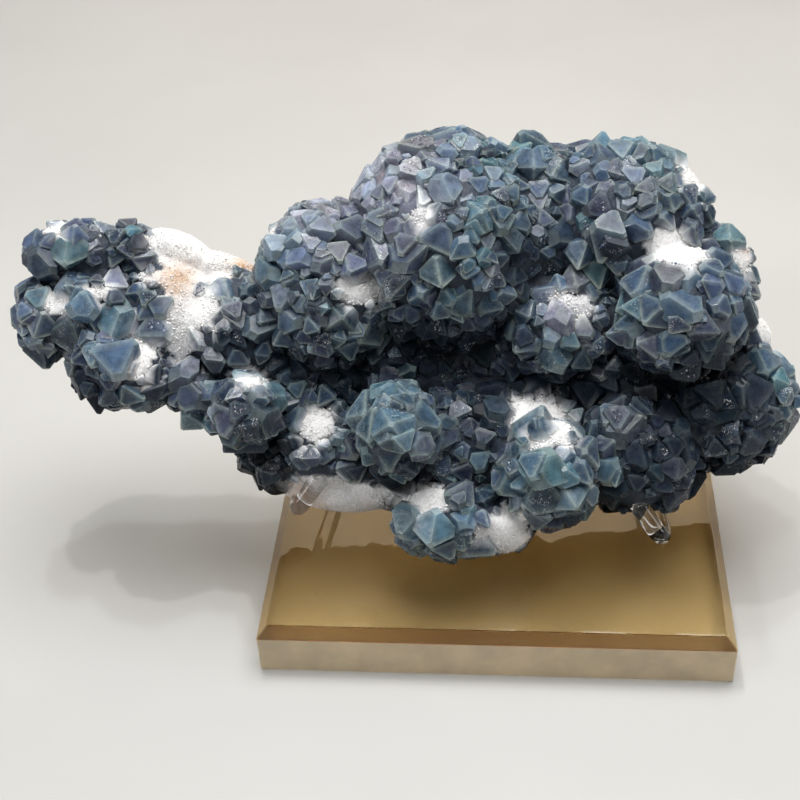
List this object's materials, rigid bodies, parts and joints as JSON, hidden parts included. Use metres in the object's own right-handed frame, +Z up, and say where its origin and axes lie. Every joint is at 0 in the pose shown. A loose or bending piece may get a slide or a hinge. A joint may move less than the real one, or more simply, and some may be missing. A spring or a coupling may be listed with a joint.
{
  "type": "fluorite specimen",
  "caption": "Cluster of blue-grey fluorite octahedra on white matrix, leaning back on a bevelled amber acrylic base with bent clear acrylic rods.",
  "frame": {"origin": "centre of the acrylic base's underside", "axes": "+Z up, -Y towards the viewer of the displayed face, +X to the viewer's right along the specimen's length"},
  "size_m": [0.2182, 0.1083, 0.119],
  "materials": {
    "amber_acrylic": "clear smoky amber acrylic, flame-polished edges",
    "clear_acrylic": "clear colourless acrylic rod, polished",
    "fluorite": "translucent blue-grey fluorite with pale edges on white sugary matrix"
  },
  "bodies": {
    "root": {"acrylic_base": "amber_acrylic", "left_arm_rod": "clear_acrylic", "right_arm_rod": "clear_acrylic", "back_prop_rod": "clear_acrylic", "fluorite_specimen": "fluorite"}
  },
  "joints": []
}
